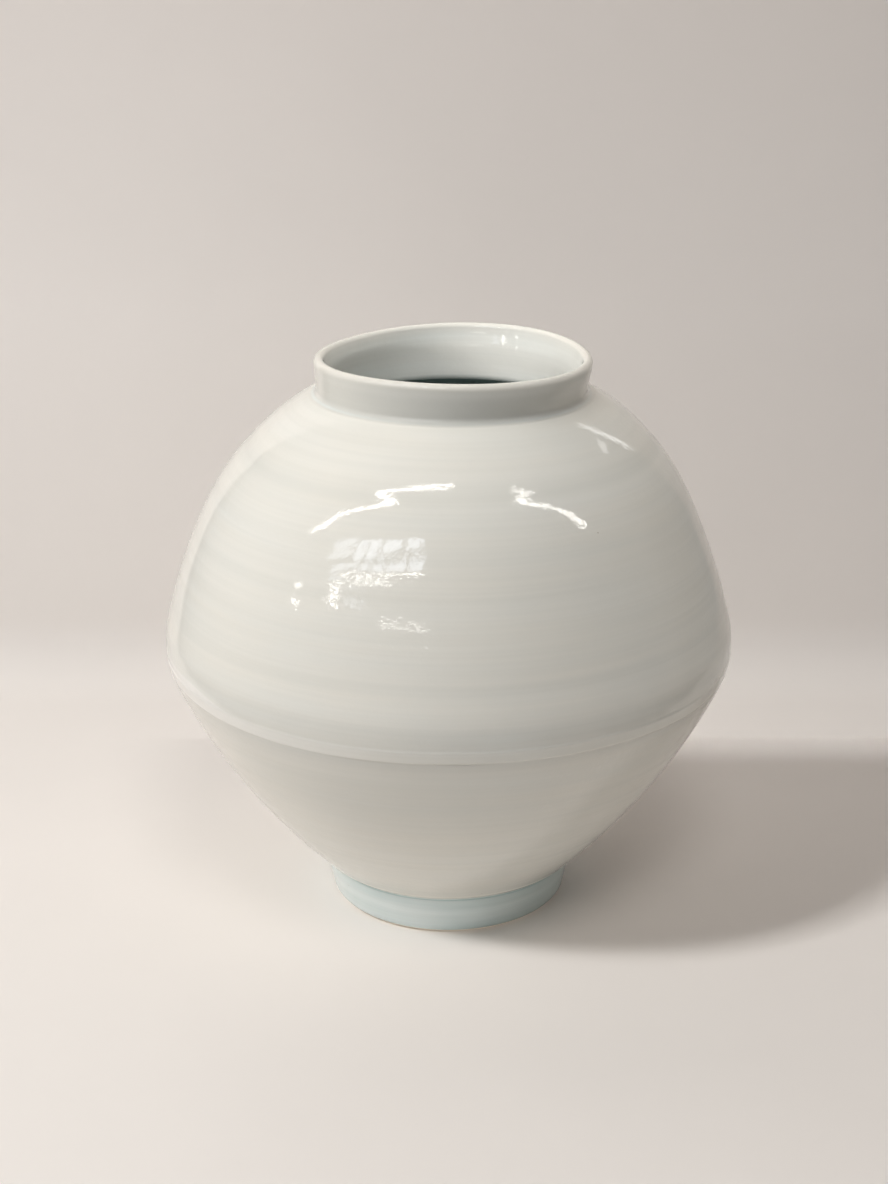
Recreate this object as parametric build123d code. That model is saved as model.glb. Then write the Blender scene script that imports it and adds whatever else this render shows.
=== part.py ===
from build123d import *
import os
from math import asin, cos, degrees, radians, sin, sqrt

# Sizes in millimetres and degrees. Outside and inside sizes are taken over the glaze.

# Side of the body: a bowl arc, a belly arc, a flank arc and a shoulder arc, each tangent to the next.
# The bowl arc's own radius follows from the place where it meets the foot.
belly_radius = 200.0
belly_height = 200.0
belly_arc = 60.0
bowl_angle = 24.7
flank_arc = 418.0
flank_angle = 13.6
shoulder_arc = 177.0
flank_sweep = 11.9

# Thickness of the walls, the coats and the luting
clay_wall = 6.5
clay_floor = 9.0
floor_round = 36.0
glaze = 0.7
slip = 1.0

# Joint between the two bowls, a little below the widest ring
joint_drop = 12.0
key_height = 2.5
key_width = 3.2
band_width = 9.0
band_proud = 0.9

# Collar and mouth
collar_radius = 95.5
collar_taper = 2.7
collar_height = 26.8
lip_width = 6.8
collar_wall = 6.3
throat_drop = 11.3
throat_round = 4.0
flare_height = 9.0
neck_pool = 4.0
neck_land = 1.5

# Foot
foot_radius = 90.6
foot_height = 29.4
foot_taper = 4.8
foot_bevel = 4.0
foot_wall = 15.8
foot_pool = 3.0
well_flare = 1.5
bare_edge = 2.5


def polar(centre, radius, angle):
    """Point at a radius and an angle in degrees from a centre."""
    return centre + Vector(cos(radians(angle)), sin(radians(angle))) * radius


# Centres of the four side arcs, in the half plane of radius and height
full_wall = clay_wall + 2 * glaze
shoulder_angle = flank_angle + flank_sweep
belly_centre = Vector(belly_radius - belly_arc, belly_height)
bowl_start = polar(belly_centre, belly_arc, -bowl_angle)
bowl_outward = polar(Vector(0, 0), 1, -bowl_angle)
bowl_chord = Vector(foot_radius, foot_height) - bowl_start
bowl_arc = -bowl_chord.dot(bowl_chord) / (2 * bowl_chord.dot(bowl_outward))
bowl_centre = bowl_start - bowl_outward * bowl_arc
flank_centre = polar(belly_centre, belly_arc - flank_arc, flank_angle)
shoulder_centre = polar(flank_centre, flank_arc - shoulder_arc, shoulder_angle)


def height_on_shoulder(radius, depth):
    """Height of the shoulder arc at a radius, at a depth below the outer skin."""
    return shoulder_centre.Y + sqrt((shoulder_arc - depth) ** 2 - (radius - shoulder_centre.X) ** 2)


# Places that follow from the sizes
collar_base_radius = collar_radius - collar_taper
neck_radius = collar_base_radius + neck_pool + neck_land
neck_height = height_on_shoulder(neck_radius, 0)
rim_height = neck_height + collar_height
lip_round = lip_width / 2
crest_radius = collar_radius - lip_round
throat_radius = collar_base_radius - collar_wall
throat_height = height_on_shoulder(throat_radius, full_wall) - throat_drop
crest_centre = Vector(crest_radius, rim_height - lip_round)
closing_height = rim_height + lip_round
floor_height = foot_height + clay_floor + glaze
foot_edge_radius = foot_radius - foot_taper
well_radius = foot_radius - foot_wall
joint_height = belly_height - joint_drop
band_arc = (band_width ** 2 / 4 + band_proud ** 2) / (2 * band_proud)
band_middle = joint_height + slip / 2
band_angle = degrees(asin((band_middle - belly_height) / belly_arc))
band_centre = polar(belly_centre, belly_arc + band_proud - band_arc, band_angle)
reach = 2 * belly_radius


def side_arcs(depth, low_angle, high_angle):
    """The four side arcs from the bowl up to the shoulder, at a depth below the outer skin."""
    return [
        CenterArc(bowl_centre, bowl_arc - depth, low_angle, -bowl_angle - low_angle),
        CenterArc(belly_centre, belly_arc - depth, -bowl_angle, bowl_angle + flank_angle),
        CenterArc(flank_centre, flank_arc - depth, flank_angle, flank_sweep),
        CenterArc(shoulder_centre, shoulder_arc - depth, shoulder_angle, high_angle - shoulder_angle),
    ]


def bowl_angle_at(height, depth):
    """Angle on the bowl arc where it passes a height."""
    return degrees(asin((height - bowl_centre.Y) / (bowl_arc - depth)))


def shoulder_angle_at(height, depth):
    """Angle on the shoulder arc where it passes a height."""
    return degrees(asin((height - shoulder_centre.Y) / (shoulder_arc - depth)))


def rounded(face, corner, radius):
    """The face with the vertex nearest to a corner rounded."""
    return fillet(face.vertices().sort_by_distance(corner)[0], radius)


def body_inside(depth):
    """Everything within the outer skin of the bowls, the collar and the foot, at a depth below it."""
    ledge = neck_height - depth
    side = side_arcs(depth, bowl_angle_at(foot_height, depth), shoulder_angle_at(ledge, depth))
    foot_line = [
        (0, 0),
        (foot_edge_radius - foot_bevel - depth, 0),
        (foot_edge_radius - depth, foot_bevel),
        (foot_radius - depth, foot_height),
        (foot_radius - depth, foot_height + foot_bevel),
        (0, foot_height + foot_bevel),
    ]
    collar_line = Polyline(
        (crest_radius, rim_height - depth),
        (crest_radius, closing_height),
        (0, closing_height),
        (0, ledge - collar_height),
        (collar_base_radius - depth, ledge - collar_height),
        (collar_base_radius - depth, ledge),
        (collar_radius - depth, crest_centre.Y),
    )
    lip = CenterArc(crest_centre, lip_round - depth, 0, 90)
    bowls = make_face(side + [Polyline(side[-1] @ 1, (0, ledge), (0, foot_height), side[0] @ 0)])
    collar = make_face([collar_line, lip])
    foot = make_face(Polyline(*foot_line, close=True))
    return bowls + collar + foot


def hollow(depth):
    """The space inside the jar, grown by a depth beyond its glazed skin."""
    inner = full_wall - depth
    floor = floor_height - depth
    throat = throat_radius + depth
    throat_edge = Vector(throat, throat_height + depth)
    side = side_arcs(inner, bowl_angle_at(floor, inner), shoulder_angle_at(throat_edge.Y, inner))
    lip = CenterArc(crest_centre, lip_round - depth, 90, 90)
    neck_line = Polyline(side[-1] @ 1, throat_edge, (throat, crest_centre.Y - flare_height), lip @ 1)
    axis_line = Polyline(
        lip @ 0, (crest_radius, closing_height), (0, closing_height), (0, floor), side[0] @ 0
    )
    space = make_face(side + [neck_line, lip, axis_line])
    space = rounded(space, side[0] @ 0, floor_round + depth)
    return rounded(space, throat_edge, throat_round - depth)


def foot_well(depth):
    """The recess inside the foot ring, grown by a depth beyond its glazed skin."""
    ceiling = foot_height - glaze + depth
    return make_face(Polyline(
        (0, -foot_bevel),
        (well_radius + well_flare + depth, -foot_bevel),
        (well_radius + well_flare + depth, 0),
        (well_radius + depth, ceiling),
        (0, ceiling),
        close=True,
    ))


def below_joint(lift):
    """Everything below the keyed joint line, raised by a lift."""
    level = joint_height + lift
    drop = level - belly_height
    middle = belly_centre.X + sqrt((belly_arc - full_wall / 2) ** 2 - drop ** 2)
    return make_face(Polyline(
        (0, 0),
        (reach, 0),
        (reach, level),
        (middle + key_width / 2, level),
        (middle, level + key_height),
        (middle - key_width / 2, level),
        (0, level),
        close=True,
    ))


def band(depth):
    """Round section of the smoothed band over the belly joint."""
    return Pos(band_centre) * Circle(band_arc - depth)


def level_slice(low, high, radius=reach):
    """Everything between two heights, out to a radius."""
    return Pos(0, low) * Rectangle(radius, high - low, align=Align.MIN)


def thrown(section):
    """Turn a section about the jar's axis."""
    return revolve(Plane.XZ * section, Axis.Z)


# Clay under the glaze
inside_clay_skin = body_inside(glaze)
clay = inside_clay_skin - hollow(glaze) - foot_well(glaze)
joint_layer = below_joint(slip) - below_joint(0)

# Foot ring and its luting
foot_ring = clay & level_slice(0, foot_height - slip)
foot_slip = clay & level_slice(foot_height - slip, foot_height)

# Collar and its luting, let into the upper bowl's opening
collar_seat = neck_height - glaze
mouth_collar = clay & level_slice(collar_seat, rim_height)
collar_slip = clay & level_slice(collar_seat - slip, collar_seat, collar_base_radius - glaze)

# Lower bowl with the floor, upper bowl with the opening, and the luting between them
bowls = (clay & level_slice(foot_height, collar_seat)) - collar_slip
lower_bowl = bowls & below_joint(0)
upper_bowl = bowls - below_joint(slip)
belly_slip = (bowls & joint_layer) + (band(glaze) - inside_clay_skin)

# Glaze coats: outside with its pools at the neck and the foot, inside, and in the foot's recess
glazed_zone = level_slice(bare_edge, rim_height)
outer_skin = rounded(body_inside(0), Vector(collar_base_radius, neck_height), neck_pool)
outer_skin = rounded(outer_skin, Vector(foot_radius, foot_height), foot_pool)
outer_glaze = (outer_skin + band(0) - inside_clay_skin - band(glaze)) & glazed_zone
inner_glaze = hollow(glaze) - hollow(0)
foot_well_glaze = (foot_well(glaze) - foot_well(0)) & glazed_zone

sections = {
    "foot_ring": foot_ring,
    "foot_slip": foot_slip,
    "lower_bowl": lower_bowl,
    "belly_slip": belly_slip,
    "upper_bowl": upper_bowl,
    "collar_slip": collar_slip,
    "mouth_collar": mouth_collar,
    "outer_glaze": outer_glaze,
    "inner_glaze": inner_glaze,
    "foot_well_glaze": foot_well_glaze,
}

os.makedirs("parts", exist_ok=True)
for name, section in sections.items():
    export_step(thrown(section), f"parts/{name}.step")
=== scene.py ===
import math
from itertools import pairwise

import bpy
import numpy as np
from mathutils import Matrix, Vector


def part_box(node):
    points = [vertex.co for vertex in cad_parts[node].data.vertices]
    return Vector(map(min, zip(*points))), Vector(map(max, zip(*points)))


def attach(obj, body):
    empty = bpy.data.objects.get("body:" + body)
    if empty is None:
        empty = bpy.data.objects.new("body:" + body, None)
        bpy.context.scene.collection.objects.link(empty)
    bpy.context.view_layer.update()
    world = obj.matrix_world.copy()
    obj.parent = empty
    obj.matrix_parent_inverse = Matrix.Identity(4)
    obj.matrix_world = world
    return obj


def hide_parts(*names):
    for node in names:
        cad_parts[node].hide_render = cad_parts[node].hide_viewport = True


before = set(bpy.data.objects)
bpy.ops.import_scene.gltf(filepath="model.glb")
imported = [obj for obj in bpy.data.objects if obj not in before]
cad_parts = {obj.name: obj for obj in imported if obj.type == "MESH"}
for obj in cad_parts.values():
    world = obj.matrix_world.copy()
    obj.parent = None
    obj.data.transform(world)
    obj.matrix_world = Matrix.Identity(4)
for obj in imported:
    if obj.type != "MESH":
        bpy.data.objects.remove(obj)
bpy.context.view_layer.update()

MM = 0.001

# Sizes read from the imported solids
BARE_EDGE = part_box("outer_glaze")[0].z
BELLY_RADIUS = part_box("outer_glaze")[1].x
RIM_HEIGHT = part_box("outer_glaze")[1].z
COLLAR_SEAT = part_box("mouth_collar")[0].z
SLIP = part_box("collar_slip")[1].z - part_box("collar_slip")[0].z
FOOT_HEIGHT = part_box("foot_slip")[1].z
CLAY_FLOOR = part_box("inner_glaze")[0].z
JOINT_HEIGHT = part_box("upper_bowl")[0].z - SLIP
GLAZE = BELLY_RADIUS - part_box("upper_bowl")[1].x
FOOT_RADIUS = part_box("foot_slip")[1].x + GLAZE
COLLAR_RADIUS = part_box("mouth_collar")[1].x + GLAZE

# Side of the body: a bowl arc, a belly arc, a flank arc and a shoulder arc, each tangent to the next
BELLY_HEIGHT = 200 * MM
BELLY_ARC = 60 * MM
FLANK_ARC = 418 * MM
SHOULDER_ARC = 177 * MM
BOWL_ANGLE = math.radians(24.7)
FLANK_ANGLE = math.radians(13.6)
SHOULDER_ANGLE = FLANK_ANGLE + math.radians(11.9)

# Walls, collar and foot
WALL = 6.5 * MM + 2 * GLAZE
FLOOR_ROUND = 36 * MM
COLLAR_BASE = COLLAR_RADIUS - 2.7 * MM
LIP_ROUND = 3.4 * MM
THROAT_RADIUS = COLLAR_BASE - 6.3 * MM
THROAT_DROP = 11.3 * MM
FLARE_HEIGHT = 9 * MM
FOOT_EDGE = FOOT_RADIUS - 4.8 * MM
FOOT_BEVEL = 4 * MM
WELL_RADIUS = FOOT_RADIUS - 15.8 * MM
WELL_FLARE = 1.5 * MM
KEY_HEIGHT = 2.5 * MM
KEY_HALF = 1.6 * MM
EDGE_ROUND = 0.5 * MM

# How finely the sections are drawn and turned
SIDES = 216
HIDDEN_SIDES = 128
FINE_STEP = 0.8 * MM
SKIN_STEP = 1.2 * MM
LINING_STEP = 5 * MM
WELL_STEP = 2 * MM
HIDDEN_STEP = 8 * MM
HIDDEN_FINE = 3 * MM
CLAY_FINE = 2 * MM
MERGE = 0.02 * MM
SMOOTH_ANGLE = math.radians(40)


def polar(centre, radius, angle):
    """Point of a section at a radius and an angle from a centre."""
    return (centre[0] + radius * math.cos(angle), centre[1] + radius * math.sin(angle))


belly_centre = (BELLY_RADIUS - BELLY_ARC, BELLY_HEIGHT)
bowl_start = Vector(polar(belly_centre, BELLY_ARC, -BOWL_ANGLE))
bowl_outward = Vector(polar((0, 0), 1, -BOWL_ANGLE))
bowl_chord = Vector((FOOT_RADIUS, FOOT_HEIGHT)) - bowl_start
BOWL_ARC = -bowl_chord.length_squared / (2 * bowl_chord.dot(bowl_outward))
bowl_centre = tuple(bowl_start - bowl_outward * BOWL_ARC)
flank_centre = polar(belly_centre, BELLY_ARC - FLANK_ARC, FLANK_ANGLE)
shoulder_centre = polar(flank_centre, FLANK_ARC - SHOULDER_ARC, SHOULDER_ANGLE)
NECK_HEIGHT = COLLAR_SEAT + GLAZE
CREST = (COLLAR_RADIUS - LIP_ROUND, RIM_HEIGHT - LIP_ROUND)


def arc(centre, radius, start, end, step):
    """Points along an arc of a section."""
    count = max(2, math.ceil(abs(end - start) * radius / step))
    return [polar(centre, radius, start + (end - start) * i / count) for i in range(count + 1)]


def run(start, end, step):
    """Points along a straight run of a section."""
    count = max(1, math.ceil(math.dist(start, end) / step))
    return [tuple(Vector(start).lerp(Vector(end), i / count)) for i in range(count + 1)]


def soft_corner(start, corner, end, step):
    """Points round a softened corner of a section."""
    count = max(3, math.ceil((math.dist(start, corner) + math.dist(corner, end)) / step))
    a, b, c = Vector(start), Vector(corner), Vector(end)
    return [tuple(a.lerp(b, i / count).lerp(b.lerp(c, i / count), i / count)) for i in range(count + 1)]


def angle_at(centre, radius, height):
    """Angle on an arc where it passes a height."""
    return math.asin((height - centre[1]) / radius)


def side(depth, low, high, step, fine):
    """The four arcs of the body between two heights, at a depth below the outer skin."""
    bowl, belly, flank, shoulder = (r - depth for r in (BOWL_ARC, BELLY_ARC, FLANK_ARC, SHOULDER_ARC))
    return (
        arc(bowl_centre, bowl, angle_at(bowl_centre, bowl, low), -BOWL_ANGLE, 2 * step)
        + arc(belly_centre, belly, -BOWL_ANGLE, FLANK_ANGLE, fine)
        + arc(flank_centre, flank, FLANK_ANGLE, SHOULDER_ANGLE, step)
        + arc(shoulder_centre, shoulder, SHOULDER_ANGLE, angle_at(shoulder_centre, shoulder, high), step)
    )


def without_repeats(points):
    """The points of a section with neighbours in the same place taken once."""
    return [points[0]] + [b for a, b in pairwise(points) if math.dist(a, b) > MERGE]


# How far the glaze and the trimming soften the corners of the outside
FOOT_SOFT = 3 * MM
LEDGE_TOP = 9 * MM
NECK_SOFT = 4 * MM
NECK_RISE = 0.6 * MM
BEVEL_OUT = 0.15 * MM
BEVEL_RISE = 1.6 * MM

# How far the corners of the inside and of the recess in the foot are softened
FLOOR_RISE = 0.6 * FLOOR_ROUND
SHELF_DROP = 4 * MM
SHELF_REACH = 9 * MM
THROAT_SOFT = 5 * MM
FLARE_SOFT = 4 * MM
WELL_SOFT = 6 * MM


def outer_skin(depth, step, fine):
    """Section line of the outside, from the bare edge at the foot up to the crest of the lip."""
    edge = (FOOT_EDGE - depth, FOOT_BEVEL)
    foot_top = (FOOT_RADIUS - depth, FOOT_HEIGHT)
    foot_side = Vector(foot_top).lerp(Vector(edge), FOOT_SOFT / (FOOT_HEIGHT - FOOT_BEVEL))
    bowl = BOWL_ARC - depth
    ledge_start, ledge_end = (angle_at(bowl_centre, bowl, FOOT_HEIGHT + h) for h in (FOOT_SOFT, LEDGE_TOP))
    ledge = arc(bowl_centre, bowl, ledge_start, ledge_end, fine)
    body = side(depth, FOOT_HEIGHT + LEDGE_TOP, NECK_HEIGHT - depth, step, fine)
    neck = (COLLAR_BASE - depth, NECK_HEIGHT + NECK_RISE - depth)
    collar_top = (COLLAR_RADIUS - depth, CREST[1])
    collar_low = Vector(neck).lerp(Vector(collar_top), NECK_SOFT / (CREST[1] - neck[1]))
    bevel_low = (edge[0] - FOOT_BEVEL + BARE_EDGE, BARE_EDGE)
    bevel_high = (edge[0] + BEVEL_OUT, edge[1] + BEVEL_RISE)
    return without_repeats(
        soft_corner(bevel_low, edge, bevel_high, fine)
        + run(bevel_high, foot_side, step)
        + soft_corner(foot_side, foot_top, ledge[0], fine)
        + ledge
        + body
        + soft_corner(body[-1], neck, collar_low, fine)
        + run(collar_low, collar_top, step)
        + arc(CREST, LIP_ROUND - depth, 0, math.pi / 2, fine)
    )


def lining(depth, step, fine):
    """Section line of the inside, from the floor's middle to the crest, at a depth from the hollow."""
    inner = WALL - depth
    floor = CLAY_FLOOR + GLAZE - depth
    throat = THROAT_RADIUS + depth
    throat_arc = SHOULDER_ARC - WALL
    shelf = shoulder_centre[1] + math.sqrt(throat_arc ** 2 - (THROAT_RADIUS - shoulder_centre[0]) ** 2)
    shelf = shelf - THROAT_DROP + depth
    body = side(inner, floor + FLOOR_RISE, shelf - SHELF_DROP, step, step)
    corner = polar(bowl_centre, BOWL_ARC - inner, angle_at(bowl_centre, BOWL_ARC - inner, floor))
    lip = arc(CREST, LIP_ROUND - depth, math.pi, math.pi / 2, fine)
    shelf_end = (throat + THROAT_SOFT, shelf)
    throat_start = (throat, shelf + THROAT_SOFT)
    flare = (throat, CREST[1] - FLARE_HEIGHT)
    flare_start = (throat, flare[1] - FLARE_SOFT)
    return without_repeats(
        run((0, floor), (corner[0] - FLOOR_ROUND, floor), step)
        + soft_corner((corner[0] - FLOOR_ROUND, floor), corner, body[0], step)
        + body
        + soft_corner(body[-1], (body[-1][0] - SHELF_REACH, shelf), shelf_end, fine)
        + soft_corner(shelf_end, (throat, shelf), throat_start, fine)
        + run(throat_start, flare_start, step)
        + soft_corner(flare_start, flare, lip[0], step)
        + lip
    )


def well(depth, step):
    """Section line of the recess in the foot, from its middle to the bare edge, at a depth into the clay."""
    ceiling = FOOT_HEIGHT - GLAZE + depth
    top = (WELL_RADIUS + depth, ceiling)
    low = (WELL_RADIUS + WELL_FLARE + depth, BARE_EDGE)
    beside = (top[0] - WELL_SOFT, ceiling)
    below = Vector(top).lerp(Vector(low), WELL_SOFT / (ceiling - BARE_EDGE))
    return without_repeats(
        run((0, ceiling), beside, step) + soft_corner(beside, top, below, step) + run(below, low, step)
    )


def between(points, low, high):
    """The stretch of a rising section line between two heights."""
    kept = []
    for a, b in pairwise(points):
        if b[1] - a[1] < 1e-9:
            kept += [p for p in (a, b) if low <= p[1] <= high]
            continue
        first, last = (min(max((h - a[1]) / (b[1] - a[1]), 0), 1) for h in (low, high))
        if last > first:
            kept += [tuple(Vector(a).lerp(Vector(b), t)) for t in (first, last)]
    return without_repeats(kept)


def drawn(name, points):
    """Draw a line point by point from one vertex, all of it selected in edit mode."""
    bpy.ops.object.select_all(action="DESELECT")
    bpy.ops.mesh.primitive_plane_add(size=MM, location=(0, 0, 0))
    piece = bpy.context.object
    piece.name = piece.data.name = name
    bpy.ops.object.mode_set(mode="EDIT")
    bpy.ops.mesh.select_all(action="SELECT")
    bpy.ops.mesh.merge(type="CENTER")
    bpy.ops.transform.translate(value=points[0])
    for start, end in pairwise(points):
        step = Vector(end) - Vector(start)
        bpy.ops.mesh.extrude_vertices_move(TRANSFORM_OT_translate={"value": step})
    bpy.ops.mesh.select_all(action="SELECT")
    return piece


def turned(name, outline, sides):
    """Draw a closed section point by point and spin it about the jar's axis."""
    piece = drawn(name + "_by_hand", [(r, 0, z) for r, z in outline + outline[:1]])
    bpy.ops.mesh.spin(steps=sides, angle=math.tau, use_auto_merge=True, center=(0, 0, 0), axis=(0, 0, 1))
    bpy.ops.mesh.select_all(action="SELECT")
    bpy.ops.mesh.remove_doubles(threshold=MERGE)
    bpy.ops.mesh.normals_make_consistent(inside=False)
    bpy.ops.object.mode_set(mode="OBJECT")
    return piece


# The potter's hand: how the fired jar departs from a true turned shape
COLLAR_SHIFT = 2.8 * MM
LIP_SHIFT = 2.2 * MM
LEAN_START = 240 * MM
LEAN_END = 385 * MM
BAND_MIDDLE = JOINT_HEIGHT + SLIP / 2
FRONT = -math.pi / 2

# Radius from which the hand's marks are whole, depth of a usual ring and height of slow waves in the wall
MARKED_RADIUS = 60 * MM
USUAL_RING = 0.15 * MM
SLOW_WAVE = 0.08 * MM

# Heights between which the glaze inside goes from deep to pale: pooled glaze and painted shade below, pale
# above
INSIDE_DARK = 345 * MM
INSIDE_PALE = 366 * MM


def ease(low, high, value):
    """Smooth step from 0 at one value to 1 at another."""
    t = np.clip((value - low) / (high - low), 0, 1)
    return t * t * (3 - 2 * t)


def hump(value, middle, half):
    """Smooth hump of height 1."""
    return np.exp(-(((value - middle) / half) ** 2))


# Throwing rings: height, depth and half width of each groove in millimetres
RINGS = (
    (345, 0.03, 1.5), (338, 0.26, 4.6), (321, 0.06, 4.0), (308, 0.14, 5.0), (295, 0.05, 4.2),
    (281, 0.13, 4.2), (270, 0.03, 3.0), (260, 0.14, 4.6), (250, 0.06, 1.8), (243, 0.09, 4.5),
    (229, 0.16, 5.0), (205, 0.09, 4.5), (160, 0.05, 4.0), (141, 0.07, 2.5), (126, 0.06, 2.5),
    (98, 0.05, 3.0), (77, 0.05, 3.0),
)


def throwing_rings(turn, height):
    """Depth of the grooves that the potter's fingers left, in metres, wandering and uneven round the jar."""
    depth = np.zeros_like(height)
    for i, (level, deep, half) in enumerate(RINGS):
        wander = 1.1 * np.sin(turn + 1.7 * i) + 0.7 * np.sin(2 * turn + 2.3 * i)
        wander = wander + 0.35 * np.sin(5 * turn + 4.1 * i)
        uneven = 0.85 + 0.18 * np.sin(2 * turn + 1.1 * i) + 0.12 * np.sin(7 * turn + 2.9 * i)
        depth += deep * MM * uneven * hump(height, (level + wander) * MM, half * MM)
    return depth


def foot_ledge(turn, height):
    """Relief of the bowl's trimmed lower edge above the foot, and of the groove under it, in metres."""
    lift = (height - FOOT_HEIGHT) / MM + 0.3 * np.sin(3 * turn + 1)
    return (0.40 * hump(lift, 5.0, 1.3) - 0.50 * hump(lift, 1.0, 1.4)) * MM


def belly_band(turn, height):
    """Relief of the flat band smoothed over the belly joint, with a broken crease under it, in metres."""
    wave = 0.45 * np.sin(2 * turn + 1) + 0.25 * np.sin(5 * turn + 2)
    wave = wave + 0.2 * np.sin(11 * turn) + 0.12 * np.sin(23 * turn)
    t = (height - BAND_MIDDLE) / MM - wave
    face = ease(-4.7, -3.9, t) - ease(3.9, 4.7, t)
    flat = 0.42 - 0.15 * np.clip(1 - (t / 4.2) ** 2, 0, 1)
    worked = np.clip(0.45 + 0.45 * np.sin(7 * turn + 0.6) + 0.3 * np.sin(17 * turn + 2), 0.05, 1)
    crease = worked * hump(t, -4.6, 0.7)
    return (face * flat - 0.30 * crease) * MM, crease


def shaped_by_hand(piece):
    """Move every vertex of a turned piece as the potter's hand and the fire moved the clay."""
    count = len(piece.data.vertices)
    place = np.empty(count * 3)
    piece.data.vertices.foreach_get("co", place)
    x, y, z = place.reshape(-1, 3).T
    radius = np.hypot(x, y)
    turn = np.arctan2(y, x)
    rings = throwing_rings(turn, z)
    band, crease = belly_band(turn, z)
    tilt = np.arcsin(np.clip((z - shoulder_centre[1]) / SHOULDER_ARC, 0, 0.9))
    skin = np.clip(radius / MARKED_RADIUS, 0, 1)
    out = (band + foot_ledge(turn, z) - rings) * skin
    soft = (np.sin(2 * turn + 14 * z) + np.sin(3 * turn - 9 * z + 2) - 2.2) * SLOW_WAVE
    collar = ease(NECK_HEIGHT - 12 * MM, NECK_HEIGHT + 4 * MM, z)
    lip = ease(NECK_HEIGHT, RIM_HEIGHT - 4 * MM, z)
    egg = -1.44 * np.cos(2 * turn) + 0.5 * np.sin(2 * turn)
    egg = (egg - 2.1 * np.cos(3 * turn) - 2.5 * np.sin(3 * turn)) * MM
    grown = radius + out * np.cos(tilt) + (soft + egg * (0.45 * collar + 0.55 * lip)) * skin
    lean = COLLAR_SHIFT * ease(LEAN_START, LEAN_END, z) ** 1.5 + LIP_SHIFT * lip
    level = 0.25 * MM * np.sin(turn + 0.6) * lip - 0.25 * MM * lip
    moved = np.column_stack((
        grown * np.cos(turn) + lean,
        grown * np.sin(turn),
        z + out * np.sin(tilt) + level,
    ))
    piece.data.vertices.foreach_set("co", moved.ravel())
    piece.data.update()
    return turn, radius, z, rings / USUAL_RING, crease


def glaze_tones(piece, node, turn, radius, height, rings, crease):
    """Marks from 0 to 1 on a coat: pooled glaze, thin glaze, painted shade and a painted highlight."""
    around = (turn - FRONT + math.pi) % math.tau - math.pi
    thin = 0.5 * ease(RIM_HEIGHT - 5 * MM, RIM_HEIGHT - 1.5 * MM, height)
    painted_highlight = np.zeros_like(height)
    if node == "outer_glaze":
        lift = (height - FOOT_HEIGHT) / MM
        from_band = (height - BAND_MIDDLE) / MM
        from_neck = np.hypot(radius - COLLAR_BASE - 2 * MM, height - NECK_HEIGHT) / MM
        pool = 0.50 * (1 - ease(1.0, 3.5, lift)) + 0.18 * hump(lift, 0.6, 0.9)
        pool = pool + 0.36 * hump(from_neck, 0, 1.5) + 0.08 * hump(from_band, 9, 8) * (from_band > 0)
        # Painted shade on the collar: a little all round, most at the front and low down, less near the lip
        shaded = 0.12 + 0.80 * hump(around, 0.05, 0.73)
        painted_shade = ease(NECK_HEIGHT - 0.6 * MM, NECK_HEIGHT + 0.9 * MM, height) * shaded * (1 - thin)
        painted_shade = painted_shade * (1 - 0.35 * ease(RIM_HEIGHT - 13 * MM, RIM_HEIGHT - 5 * MM, height))
        # Painted shade just under the belly band
        painted_shade = painted_shade + 0.3 * (1 - ease(-5, -4, from_band)) * hump(from_band, -4, 8)
        # Painted shade on the front of the lower bowl
        painted_low_shade = hump(height, 145 * MM, 45 * MM) * hump(around, -0.25, 0.85)
        painted_shade = painted_shade + 0.32 * painted_low_shade * (1 - ease(-5, -4, from_band))
        # Painted highlight: a pale strip on the band and above it, on the left side
        upper = 4.3 + 6.5 * ease(0.75, 1.05, -around)
        painted_highlight = ease(-4.8, -3.8, from_band) - ease(upper - 0.5, upper + 0.5, from_band)
        painted_highlight = 0.85 * painted_highlight * hump(around, -1.25, 0.75)
        thin = thin + 0.8 * hump(lift, 5.2, 1.2)
    elif node == "inner_glaze":
        # Inside: glaze pooled deep down, with painted shade that darkens towards the bottom
        deep = 1 - ease(INSIDE_DARK, INSIDE_PALE, height)
        pool = 0.10 + 0.86 * deep
        painted_shade = 0.35 * deep
    else:
        pool = np.full_like(height, 0.3)
        painted_shade = np.zeros_like(height)
    marks = {"rings": rings, "crease": crease, "pool": pool, "painted_shade": painted_shade, "thin": thin, "painted_highlight": painted_highlight}
    for name, values in marks.items():
        layer = piece.data.attributes.new(name, "FLOAT", "POINT")
        layer.data.foreach_set("value", values)


def finished(piece, node, slot, material):
    """Shape a piece by hand, give it its finish, hang it under the root body and hide the solid that it
    stands for.
    """
    marks = shaped_by_hand(piece)
    if slot == "glaze":
        glaze_tones(piece, node, *marks)
    bpy.ops.object.select_all(action="DESELECT")
    piece.select_set(True)
    bpy.context.view_layer.objects.active = piece
    bpy.ops.object.shade_smooth_by_angle(angle=SMOOTH_ANGLE)
    piece.data.materials.clear()
    piece.data.materials.append(material)
    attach(piece, "root")
    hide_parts(node)


def add_node(tree, kind, inputs=(), **settings):
    """Add a shader node with its settings and its inputs, each a value or a socket to link from."""
    node = tree.nodes.new(kind)
    for key, value in settings.items():
        setattr(node, key, value)
    for key, value in dict(inputs).items():
        if isinstance(value, bpy.types.NodeSocket):
            tree.links.new(value, node.inputs[key])
        else:
            node.inputs[key].default_value = value
    return node


def new_finish(name):
    """A material with an empty tree but for its output and its main shader."""
    material = bpy.data.materials.new(name)
    material.use_nodes = True
    tree = material.node_tree
    tree.nodes.clear()
    output = tree.nodes.new("ShaderNodeOutputMaterial")
    shader = tree.nodes.new("ShaderNodeBsdfPrincipled")
    tree.links.new(shader.outputs["BSDF"], output.inputs["Surface"])
    return material, tree, shader


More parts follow.
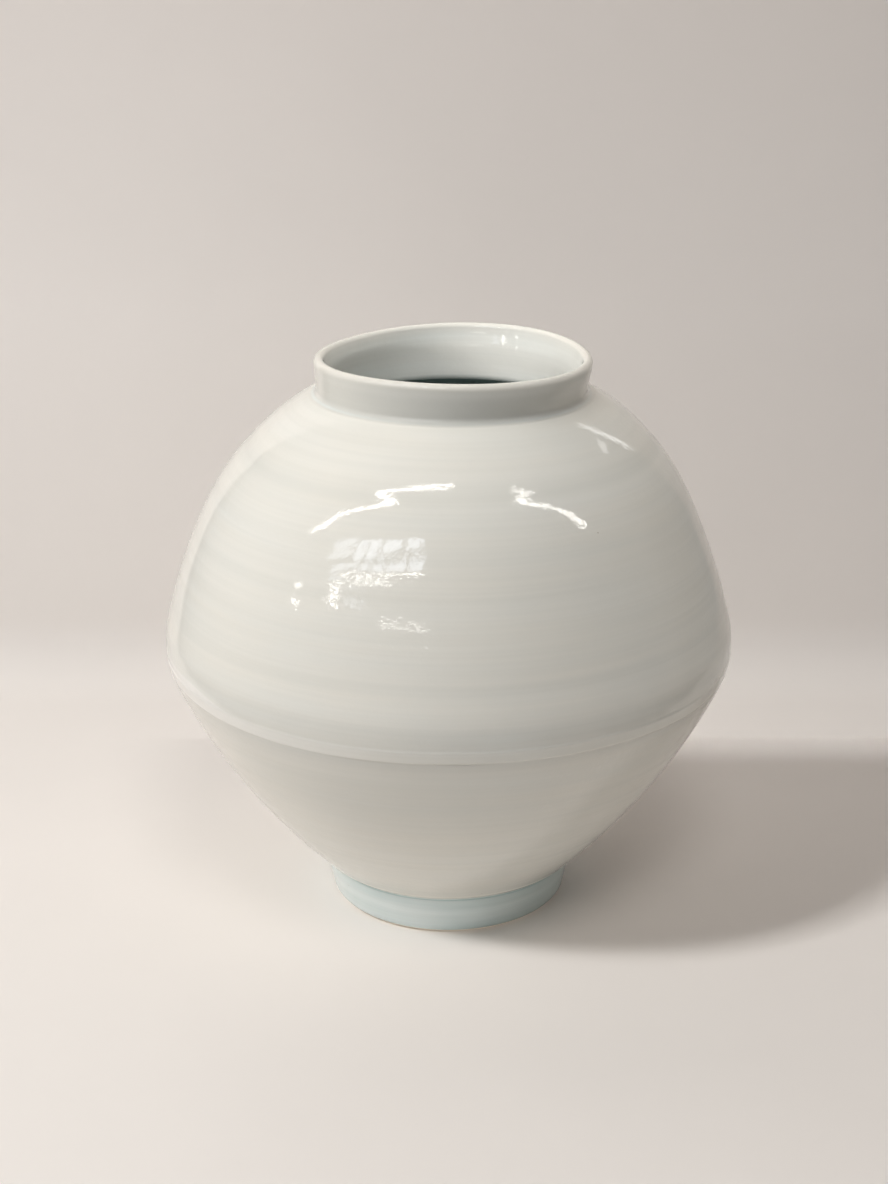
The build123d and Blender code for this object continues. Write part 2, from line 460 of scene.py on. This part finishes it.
def scaled(tree, coordinates, scale):
    """Coordinates stretched by a scale for each axis."""
    return add_node(tree, "ShaderNodeMapping", {"Vector": coordinates, "Scale": scale}).outputs["Vector"]


# The range in which most of a noise lies
NOISE_LOW = 0.3
NOISE_HIGH = 0.7


def noise(tree, vector, scale, detail=2.0):
    """A noise value from 0 to 1."""
    inputs = {"Vector": vector, "Scale": scale, "Detail": detail}
    return add_node(tree, "ShaderNodeTexNoise", inputs).outputs["Fac"]


def math_node(tree, operation, first, second, clamp=False):
    """A math node of two values."""
    inputs = {0: first, 1: second}
    return add_node(tree, "ShaderNodeMath", inputs, operation=operation, use_clamp=clamp).outputs[0]


def remap(tree, value, low, high, to_low, to_high):
    """A value mapped from one range to another, held at its ends."""
    inputs = {"Value": value, "From Min": low, "From Max": high, "To Min": to_low, "To Max": to_high}
    return add_node(tree, "ShaderNodeMapRange", inputs).outputs["Result"]


def spread(tree, value, low, high):
    """A noise value spread over a range."""
    return remap(tree, value, NOISE_LOW, NOISE_HIGH, low, high)


def ramp(tree, value, stops):
    """A colour ramp with stops of place and colour."""
    node = add_node(tree, "ShaderNodeValToRGB", {"Fac": value})
    elements = node.color_ramp.elements
    while len(elements) < len(stops):
        elements.new(1.0)
    for element, (place, colour) in zip(elements, stops):
        element.position = place
        element.color = (*colour, 1)
    return node.outputs["Color"]


def mix(tree, factor, first, second):
    """Two colours mixed by a factor."""
    inputs = {"Factor": factor, "A": first, "B": second}
    node = tree.nodes.new("ShaderNodeMix")
    node.data_type = "RGBA"
    for key, value in inputs.items():
        socket = [s for s in node.inputs if s.name == key and s.enabled][0]
        if isinstance(value, bpy.types.NodeSocket):
            tree.links.new(value, socket)
        else:
            socket.default_value = value
    return [s for s in node.outputs if s.enabled][0]


# Colours of the glaze, and of the shade and the highlight painted on it
CREAM = (0.80, 0.775, 0.705)
MILK = (0.765, 0.765, 0.72)
PALE_CELADON = (0.80, 0.87, 0.86)
CELADON = (0.47, 0.60, 0.60)
DEEP_CELADON = (0.35, 0.48, 0.48)
PAINTED_HIGHLIGHT_TONE = (0.86, 0.85, 0.82)
PAINTED_SHADE_TONE = (0.53, 0.535, 0.505)
RING_GLAZE = (0.56, 0.57, 0.525)
CREASE_SHADE_TONE = (0.50, 0.475, 0.42)
IRON_SPECK = (0.30, 0.24, 0.16)

# The body's glaze from thin to thick
GLAZE_TONES = (
    (0.0, CREAM), (0.3, MILK), (0.62, PALE_CELADON), (0.85, CELADON), (1.0, DEEP_CELADON),
)

# Darkening of a ring, pooled glaze and painted shade, of the crease, painted shade, and of the fine streaks
RING_POOL_AND_SHADE_SHARE = 0.13
CREASE_SHADE_SHARE = 0.3
STREAK_SHARE = 0.10

# Specks: cells to the metre, the share of cells without one, and the soft edge of a speck in cells
SPECK_SCALE = 42.0
SPECK_RARITY = 0.90
SPECK_EDGE = (0.012, 0.024)

# Height of the glaze's ripples, of its fine grain and of the bare clay's grain
RIPPLE_HEIGHT = 0.07 * MM
GRAIN_HEIGHT = 0.03 * MM
CLAY_GRAIN = 0.2 * MM


def white_glaze():
    """Milky glaze: cream where thin, faintly blue green where thick, wavy gloss, iron specks, painted shade
    and highlight.
    """
    material, tree, shader = new_finish("white_glaze")
    place = tree.nodes.new("ShaderNodeTexCoord").outputs["Object"]
    rings, crease, pool, painted_shade, thin, painted_highlight = (
        add_node(tree, "ShaderNodeAttribute", attribute_name=mark).outputs["Fac"]
        for mark in ("rings", "crease", "pool", "painted_shade", "thin", "painted_highlight")
    )
    clouds = spread(tree, noise(tree, place, 9, 3), -0.07, 0.07)
    streaks = spread(tree, noise(tree, scaled(tree, place, (5, 5, 75)), 1, 3), 0.13, 0.27)
    thickness = pool
    for part in (clouds, streaks):
        thickness = math_node(tree, "ADD", thickness, part)
    body = ramp(tree, thickness, GLAZE_TONES)
    # Painted shade mixed into the glaze
    body = mix(tree, painted_shade, body, (*PAINTED_SHADE_TONE, 1))
    body = mix(tree, thin, body, (*CREAM, 1))
    # Painted highlight mixed into the glaze
    body = mix(tree, painted_highlight, body, (*PAINTED_HIGHLIGHT_TONE, 1))
    # Rings: pooled glaze and painted shade in the grooves
    body = mix(tree, math_node(tree, "MULTIPLY", rings, RING_POOL_AND_SHADE_SHARE, clamp=True), body, (*RING_GLAZE, 1))
    fine = remap(tree, noise(tree, scaled(tree, place, (4, 4, 380)), 1, 2), 0.35, 0.65, 0, STREAK_SHARE)
    body = mix(tree, fine, body, (*RING_GLAZE, 1))
    # Painted shade in the crease under the band
    body = mix(tree, math_node(tree, "MULTIPLY", crease, CREASE_SHADE_SHARE, clamp=True), body, (*CREASE_SHADE_TONE, 1))
    spots = add_node(tree, "ShaderNodeTexVoronoi", {"Vector": place, "Scale": SPECK_SCALE})
    near = remap(tree, spots.outputs["Distance"], *SPECK_EDGE, 1, 0)
    pick = add_node(tree, "ShaderNodeSeparateColor", {"Color": spots.outputs["Color"]}).outputs[0]
    rare = math_node(tree, "GREATER_THAN", pick, SPECK_RARITY)
    speck = math_node(tree, "MULTIPLY", near, rare)
    tree.links.new(mix(tree, speck, body, (*IRON_SPECK, 1)), shader.inputs["Base Color"])
    gloss = noise(tree, place, 30, 2)
    tree.links.new(spread(tree, gloss, 0.015, 0.03), shader.inputs["Roughness"])
    ripples = noise(tree, scaled(tree, place, (210, 210, 190)), 1, 1.5)
    first = add_node(tree, "ShaderNodeBump", {"Height": ripples, "Strength": 1.0, "Distance": RIPPLE_HEIGHT})
    grain = noise(tree, place, 620, 1)
    inputs = {"Height": grain, "Strength": 1.0, "Distance": GRAIN_HEIGHT, "Normal": first.outputs["Normal"]}
    second = add_node(tree, "ShaderNodeBump", inputs)
    tree.links.new(second.outputs["Normal"], shader.inputs["Normal"])
    return material


def bare_clay(name, light, dark):
    """Matt fired clay with a fine grain."""
    material, tree, shader = new_finish(name)
    place = tree.nodes.new("ShaderNodeTexCoord").outputs["Object"]
    grain = noise(tree, place, 900, 3)
    patches = noise(tree, place, 25, 3)
    tone = math_node(tree, "ADD", spread(tree, grain, 0, 0.4), spread(tree, patches, 0, 0.6))
    tree.links.new(ramp(tree, tone, [(0.0, dark), (1.0, light)]), shader.inputs["Base Color"])
    tree.links.new(spread(tree, grain, 0.75, 0.9), shader.inputs["Roughness"])
    bump = add_node(tree, "ShaderNodeBump", {"Height": grain, "Strength": 0.25, "Distance": CLAY_GRAIN})
    tree.links.new(bump.outputs["Normal"], shader.inputs["Normal"])
    return material


glaze_finish = white_glaze()
clay_finish = bare_clay("fired_clay", (0.86, 0.81, 0.73), (0.78, 0.71, 0.61))
slip_finish = bare_clay("fired_slip", (0.84, 0.81, 0.75), (0.79, 0.75, 0.68))


def coat(name, finished_line, clay_line, sides):
    """A coat of glaze between its finished skin and the clay."""
    finished(turned(name, finished_line + clay_line[::-1], sides), name, "glaze", glaze_finish)


def coats():
    """The three coats of glaze."""
    glaze_back = outer_skin(GLAZE, HIDDEN_STEP, HIDDEN_FINE)
    coat("outer_glaze", outer_skin(0, SKIN_STEP, FINE_STEP), glaze_back, SIDES)
    coat("inner_glaze", lining(0, LINING_STEP, FINE_STEP), lining(GLAZE, HIDDEN_STEP, HIDDEN_FINE), SIDES)
    coat("foot_well_glaze", well(0, WELL_STEP), well(GLAZE, HIDDEN_STEP), HIDDEN_SIDES)


def joint_key(middle, level):
    """Points of the key along the belly joint, from the outside in."""
    return [(middle + KEY_HALF, level), (middle, level + KEY_HEIGHT), (middle - KEY_HALF, level)]


def clay_and_slip():
    """The four clay pieces and the luting slip between them."""
    skin = outer_skin(GLAZE, HIDDEN_STEP, CLAY_FINE)
    inside = lining(GLAZE, HIDDEN_STEP, CLAY_FINE)
    joint_top = JOINT_HEIGHT + SLIP
    middle = belly_centre[0] + math.sqrt((BELLY_ARC - WALL / 2) ** 2 - (JOINT_HEIGHT - BELLY_HEIGHT) ** 2)
    foot_joint = FOOT_HEIGHT - SLIP
    collar_out = COLLAR_BASE - GLAZE
    collar_in = THROAT_RADIUS + GLAZE
    foot_out = FOOT_EDGE - FOOT_BEVEL - GLAZE
    foot_in = WELL_RADIUS + WELL_FLARE + GLAZE
    foot_low = [(foot_out + EDGE_ROUND, EDGE_ROUND), (foot_out - 0.4 * EDGE_ROUND, 0)]
    foot_low = foot_low + [(foot_in + EDGE_ROUND, 0), (foot_in, EDGE_ROUND)]
    recess = well(GLAZE, HIDDEN_STEP)[::-1]
    foot_inside = between(recess, 0, foot_joint)
    slip_inside = (WELL_RADIUS + GLAZE, FOOT_HEIGHT)
    pieces = {
        "foot_ring": foot_low + foot_inside + between(skin, 0, foot_joint)[::-1],
        "foot_slip": [foot_inside[-1], slip_inside, (FOOT_RADIUS - GLAZE, FOOT_HEIGHT),
                      between(skin, 0, foot_joint)[-1]],
        "lower_bowl": (
            [(0, FOOT_HEIGHT), slip_inside] + between(skin, FOOT_HEIGHT, JOINT_HEIGHT)
            + joint_key(middle, JOINT_HEIGHT) + between(inside, 0, JOINT_HEIGHT)[::-1]
        ),
        "belly_slip": (
            between(skin, JOINT_HEIGHT, joint_top) + joint_key(middle, joint_top)
            + between(inside, JOINT_HEIGHT, joint_top)[::-1] + joint_key(middle, JOINT_HEIGHT)[::-1]
        ),
        "upper_bowl": (
            between(skin, joint_top, COLLAR_SEAT)
            + [(collar_out, COLLAR_SEAT), (collar_out, COLLAR_SEAT - SLIP)]
            + between(inside, joint_top, COLLAR_SEAT - SLIP)[::-1] + joint_key(middle, joint_top)[::-1]
        ),
        "collar_slip": [(collar_in, COLLAR_SEAT - SLIP), (collar_out, COLLAR_SEAT - SLIP),
                        (collar_out, COLLAR_SEAT), (collar_in, COLLAR_SEAT)],
        "mouth_collar": (
            between(skin, COLLAR_SEAT, RIM_HEIGHT) + between(inside, COLLAR_SEAT, RIM_HEIGHT)[::-1]
        ),
    }
    for name, outline in pieces.items():
        slot = "slip" if name.endswith("slip") else "clay"
        finish = slip_finish if slot == "slip" else clay_finish
        finished(turned(name, without_repeats(outline), HIDDEN_SIDES), name, slot, finish)


coats()
clay_and_slip()

# Studio: a pale table and, behind it, a wall that curves up out of it, both seen from their front only
TABLE_WIDTH = 5.0
TABLE_FRONT = -2.6
TABLE_BACK = 0.25
SWEEP_START = 0.33
SWEEP_ROUND = 0.06
WALL_TOP = 2.4

# Painted shade on the paper from the table up to a height on the wall: the wall darker than the table,
# darkest at the top
TONED_HEIGHT = 0.7
PAPER_PAINTED_SHADE = (
    (0.0, (0.890, 0.853, 0.821)), (0.05, (0.825, 0.790, 0.765)),
    (0.5, (0.820, 0.785, 0.765)), (0.97, (0.705, 0.665, 0.640)),
)


def studio_paper():
    """Pale warm paper, faintly mottled, with painted shade a little darker up the wall, clear from behind."""
    material, tree, shader = new_finish("studio_paper")
    place = tree.nodes.new("ShaderNodeTexCoord").outputs["Object"]
    height = add_node(tree, "ShaderNodeSeparateXYZ", {"Vector": place}).outputs["Z"]
    # Painted shade: the wall darker than the table and darkest at the top
    tone = ramp(tree, remap(tree, height, 0, TONED_HEIGHT, 0, 1), PAPER_PAINTED_SHADE)
    mottle = spread(tree, noise(tree, place, 3.5, 4), 0.985, 1.015)
    pale = add_node(tree, "ShaderNodeVectorMath", {0: tone, "Scale": mottle}, operation="SCALE")
    tree.links.new(pale.outputs["Vector"], shader.inputs["Base Color"])
    shader.inputs["Roughness"].default_value = 0.9
    clear = tree.nodes.new("ShaderNodeBsdfTransparent")
    back = tree.nodes.new("ShaderNodeNewGeometry").outputs["Backfacing"]
    choice = add_node(tree, "ShaderNodeMixShader", {0: back, 1: shader.outputs[0], 2: clear.outputs[0]})
    output = [n for n in tree.nodes if n.type == "OUTPUT_MATERIAL"][0]
    tree.links.new(choice.outputs[0], output.inputs["Surface"])
    return material


def sheet(name, line, finish):
    """A sheet of paper across the studio along a line of places and heights."""
    piece = drawn(name, [(-TABLE_WIDTH / 2, y, z) for y, z in line])
    bpy.ops.mesh.extrude_edges_move(TRANSFORM_OT_translate={"value": (TABLE_WIDTH, 0, 0)})
    bpy.ops.object.mode_set(mode="OBJECT")
    if piece.data.polygons[0].normal.z < 0:
        piece.data.flip_normals()
    bpy.ops.object.shade_smooth()
    piece.data.materials.append(finish)
    return piece


def lamp_group(name, pieces, state="INCLUDE"):
    """A group that a lamp can be kept to: these pieces alone, or all but them."""
    group = bpy.data.collections.new(name)
    for piece in pieces:
        group.objects.link(piece)
    for member in group.collection_objects:
        member.light_linking.link_state = state
    return group


def made(*nodes):
    """The pieces that stand for these nodes."""
    return [bpy.data.objects[node + "_by_hand"] for node in nodes]


paper_finish = studio_paper()
sweep = arc((SWEEP_START, SWEEP_ROUND), SWEEP_ROUND, -math.pi / 2, 0, 10 * MM)
table = sheet("table", [(TABLE_FRONT, 0.0), (TABLE_BACK, 0.0)], paper_finish)
wall = sheet("wall", [(TABLE_BACK, 0.0)] + sweep + [(SWEEP_START + SWEEP_ROUND, WALL_TOP)], paper_finish)
TABLE = lamp_group("table_alone", [table])
BACK = lamp_group("wall_alone", [wall])
PAPER = lamp_group("paper_alone", [table, wall])
JAR = lamp_group("all_but_paper", [table, wall], "EXCLUDE")
INSIDE = lamp_group("inside_alone", made("inner_glaze"))
UNDER = lamp_group("underside_alone", made("foot_ring", "foot_well_glaze"))


def lamp(name, place, target, width, height, radiance, colour, in_glaze=True, kept_to=JAR, shaded_by=None):
    """A rectangular lamp facing a target, seen in the glaze or not, and kept to the jar or another group."""
    light = bpy.data.lights.new(name, "AREA")
    light.shape = "RECTANGLE"
    light.size = width
    light.size_y = height
    light.energy = radiance * math.pi * width * height
    light.color = colour
    holder = bpy.data.objects.new(name, light)
    bpy.context.collection.objects.link(holder)
    holder.location = place
    holder.rotation_euler = (Vector(target) - Vector(place)).to_track_quat("-Z", "Y").to_euler()
    holder.visible_camera = False
    holder.visible_glossy = in_glaze
    holder.light_linking.receiver_collection = kept_to
    holder.light_linking.blocker_collection = shaded_by
    return holder


def soft_lamp(*settings, **groups):
    """A lamp that isn't seen in the glaze."""
    return lamp(*settings, in_glaze=False, **groups)


def paper_lamp(name, place, width, height, radiance, colour):
    """A lamp on the paper alone, that throws the jar's shadow on the table and none on the wall."""
    soft_lamp(name, place, MIDDLE, width, height, radiance, colour, kept_to=TABLE)
    soft_lamp(name + "_wall", place, MIDDLE, width, height, radiance, colour, kept_to=BACK, shaded_by=PAPER)


# Colours of the light and of the room, and the point that most lamps face
WARM_WHITE = (1.0, 0.97, 0.91)
DAYLIGHT = (0.83, 0.90, 1.0)
NEUTRAL = (1.0, 0.985, 0.96)
PALE_ROOM = (0.62, 0.59, 0.56, 1)
MIDDLE = (0, 0, 0.2)


def tubes():
    """Two rows of ceiling tubes across the room, a little in front of the jar."""
    height, forward, reach, width = 1.95, -0.64, 1.62, 0.07
    for name, first, last, radiance in (("tubes_left", -1.59, 0.02, 16), ("tubes_right", 0.46, 1.46, 16)):
        middle = (first + last) / 2 * reach
        length = (last - first) * reach
        lamp(name, (middle, forward, height), (middle, forward, 0), length, width, radiance, WARM_WHITE)


def window():
    """A high window at the front left, in two rows of panes that fan out, with a bright sill under it."""
    posts = (-0.52, -0.95, -1.54, -1.95, -2.40, -3.75)
    rows = ((1.80, 2.27, 0.92, 0.045), (2.27, 2.95, 1.12, 0.07))
    away, bar, brightness = -2.3, 0.11, (6.5, 6.5, 6.5, 6.0, 4.0)
    for column, (right, left) in enumerate(pairwise(posts)):
        for row, (low, high, fan, bow) in enumerate(rows):
            middle = (right + left) / 2 * fan
            place = (middle, away, (low + high) / 2 + bow * (posts[0] - middle) ** 2)
            size = ((right - left) * fan - bar, high - low - bar)
            lamp(f"pane_{column}_{row}", place, (middle, 0, place[2]), *size, brightness[column], DAYLIGHT)
        middle = (right + left) / 2 * rows[0][2]
        sill = (middle, away, rows[0][0] - 0.08 + rows[0][3] * (posts[0] - middle) ** 2)
        lamp(f"sill_{column}", sill, (middle, 0, sill[2]), right - left, 0.035, 22.0, WARM_WHITE)


def glints():
    """Small bright things in the room, seen in the glaze: under the window, and a door frame at the right."""
    lamp("left_glint", (-2.84, -1.15, 1.17), MIDDLE, 0.20, 0.13, 12.0, WARM_WHITE)
    lamp("near_glint", (-2.84, -2.3, 1.70), MIDDLE, 0.28, 0.16, 14.0, WARM_WHITE)
    lamp("low_pane", (-2.05, -2.3, 1.63), MIDDLE, 0.55, 0.06, 4.0, DAYLIGHT)
    lamp("low_strip", (-0.76, -2.3, 1.13), MIDDLE, 0.95, 0.03, 10.0, WARM_WHITE)
    lamp("right_post", (0.50, 0.36, 0.59), (0.12, -0.06, 0.345), 0.022, 0.40, 3.2, NEUTRAL)
    lamp("right_beam", (0.60, 0.36, 0.80), (0.10, -0.07, 0.357), 0.15, 0.05, 2.0, NEUTRAL)


# Edges of the bright paper round the jar and of the bare wall behind it, as the glaze shows them
PAPER_EDGE = (
    (-0.69, 0.37), (-0.69, 0.29), (-0.62, 0.08), (-0.52, -0.04), (-0.42, -0.15), (-0.25, -0.357),
    (0.0, -0.435), (0.25, -0.357), (0.45, -0.15), (0.61, 0.01), (0.70, 0.11), (0.82, 0.35), (0.83, 0.37),
)
LEFT_EDGE = ((-0.69, 0.0), (-0.60, 0.09), (-0.50, 0.19), (-0.48, 0.30), (-0.48, WALL_TOP))
RIGHT_EDGE = (
    (0.83, 0.0), (0.72, 0.08), (0.46, 0.14), (0.45, 0.28), (0.50, 0.40), (0.50, 0.65), (0.53, WALL_TOP),
)

# Glowing cards: how far back the upright ones stand, how many times further out they end, and where their
# glow runs
CARD_PLACE = 0.37
CARD_REACH = 6
CARD_START = 0.55
CARD_END = 2.8


def card_glow(name, beside):
    """Glow of a card, which is no lamp: darkest beside the jar and pale far away, a painted reflection in the
    glaze.
    """
    material = bpy.data.materials.new(name)
    material.use_nodes = True
    tree = material.node_tree
    tree.nodes.clear()
    place = tree.nodes.new("ShaderNodeTexCoord").outputs["Object"]
    level = scaled(tree, place, (1, 1, 0))
    away = add_node(tree, "ShaderNodeVectorMath", {0: level}, operation="LENGTH").outputs["Value"]
    stops = [(0.0, (beside,) * 3), (0.25, (0.40, 0.385, 0.37)), (1.0, PALE_ROOM[:3])]
    tone = ramp(tree, remap(tree, away, CARD_START, CARD_END, 0, 1), stops)
    # The card glows though it is no lamp
    shade = add_node(tree, "ShaderNodeEmission", {"Color": tone})
    output = tree.nodes.new("ShaderNodeOutputMaterial")
    tree.links.new(shade.outputs[0], output.inputs["Surface"])
    return material


def glowing_cards():
    """Glowing cards round the jar, on the table and upright, seen in the glaze alone, that paint reflections
    along its edges.
    """
    dark = card_glow("dark_glowing_card", 0.05)
    painted_shade = card_glow("grey_glowing_card", 0.30)
    lines = {
        "table_card": [(x, y, 2 * MM) for x, y in PAPER_EDGE],
        "left_card": [(x, CARD_PLACE, z) for x, z in LEFT_EDGE],
        "right_card": [(x, CARD_PLACE, z) for x, z in RIGHT_EDGE],
    }
    for name, line in lines.items():
        card = drawn(name, line)
        stretch = (CARD_REACH, CARD_REACH if name == "table_card" else 1, 1)
        bpy.ops.mesh.extrude_edges_move(TRANSFORM_OT_translate={"value": (0, 0, 0)})
        bpy.ops.transform.resize(value=stretch, center_override=(0, 0, 0))
        bpy.ops.object.mode_set(mode="OBJECT")
        card.data.materials.append(painted_shade if name == "right_card" else dark)
        card.visible_camera = card.visible_diffuse = card.visible_shadow = card.visible_transmission = False


def soft_lamps():
    """Lamps on the paper, two large ones on the jar, two in its mouth and one under it."""
    paper_lamp("key", (-1.314, -1.027, 1.926), 0.30, 0.30, 121.0, (1.0, 0.995, 0.98))
    paper_lamp("front", (0.2, -1.45, 2.1), 0.7, 0.7, 7.8, (1.0, 0.95, 0.90))
    edge = (0.45, TABLE_BACK)
    fill = soft_lamp("back_fill", (*edge, 0.6), (*edge, 0), 0.6, 0.06, 0.26, NEUTRAL, kept_to=TABLE)
    fill.data.spread = math.radians(7)
    soft_lamp("soft_left", (-2.1, -0.4, 1.5), MIDDLE, 1.0, 0.8, 8.0, (1.0, 0.96, 0.92))
    soft_lamp("soft_top", (0.0, -0.35, 2.6), MIDDLE, 1.4, 1.4, 2.85, (1.0, 0.95, 0.89))
    lip = (0, 0, RIM_HEIGHT)
    soft_lamp("mouth_left", (-1.9, -0.9, 1.15), lip, 0.6, 0.6, 7.5, NEUTRAL, kept_to=INSIDE)
    soft_lamp("mouth_right", (1.9, -0.9, 1.15), lip, 0.6, 0.6, 8.3, NEUTRAL, kept_to=INSIDE)
    soft_lamp("under", (-0.5, -1.1, -1.0), (0, 0, 0), 0.8, 0.8, 3.2, NEUTRAL, kept_to=UNDER, shaded_by=JAR)


def room():
    """Pale surroundings, as the camera and the glaze see them, with little light of their own."""
    world = bpy.data.worlds.new("room")
    world.use_nodes = True
    tree = world.node_tree
    tree.nodes.clear()
    ray = tree.nodes.new("ShaderNodeLightPath").outputs
    seen = math_node(tree, "MAXIMUM", ray["Is Camera Ray"], ray["Is Glossy Ray"])
    seen = math_node(tree, "MAXIMUM", seen, ray["Is Transmission Ray"])
    strength = remap(tree, seen, 0, 1, 0.10, 1.0)
    shade = add_node(tree, "ShaderNodeBackground", {"Color": PALE_ROOM, "Strength": strength})
    output = tree.nodes.new("ShaderNodeOutputWorld")
    tree.links.new(shade.outputs[0], output.inputs["Surface"])
    bpy.context.scene.world = world


tubes()
window()
glints()
glowing_cards()
soft_lamps()
room()

# Camera: the photograph's view, from about 1.4 m, with its lens as a share of the photo's height
SENSOR = 36
LENS_SHARE = 1900 / 1184
CAMERA_PLACE = (-3.3 * MM, -1.2668, 0.6844)
CAMERA_DIP = 0.347

camera_data = bpy.data.cameras.new("camera")
camera_data.sensor_fit = "AUTO"
camera_data.sensor_width = SENSOR
camera_data.lens = SENSOR * LENS_SHARE
camera = bpy.data.objects.new("camera", camera_data)
bpy.context.collection.objects.link(camera)
camera.location = CAMERA_PLACE
camera.rotation_euler = (math.pi / 2 - CAMERA_DIP, 0, 0)
bpy.context.scene.camera = camera
bpy.context.scene.view_settings.view_transform = "Standard"
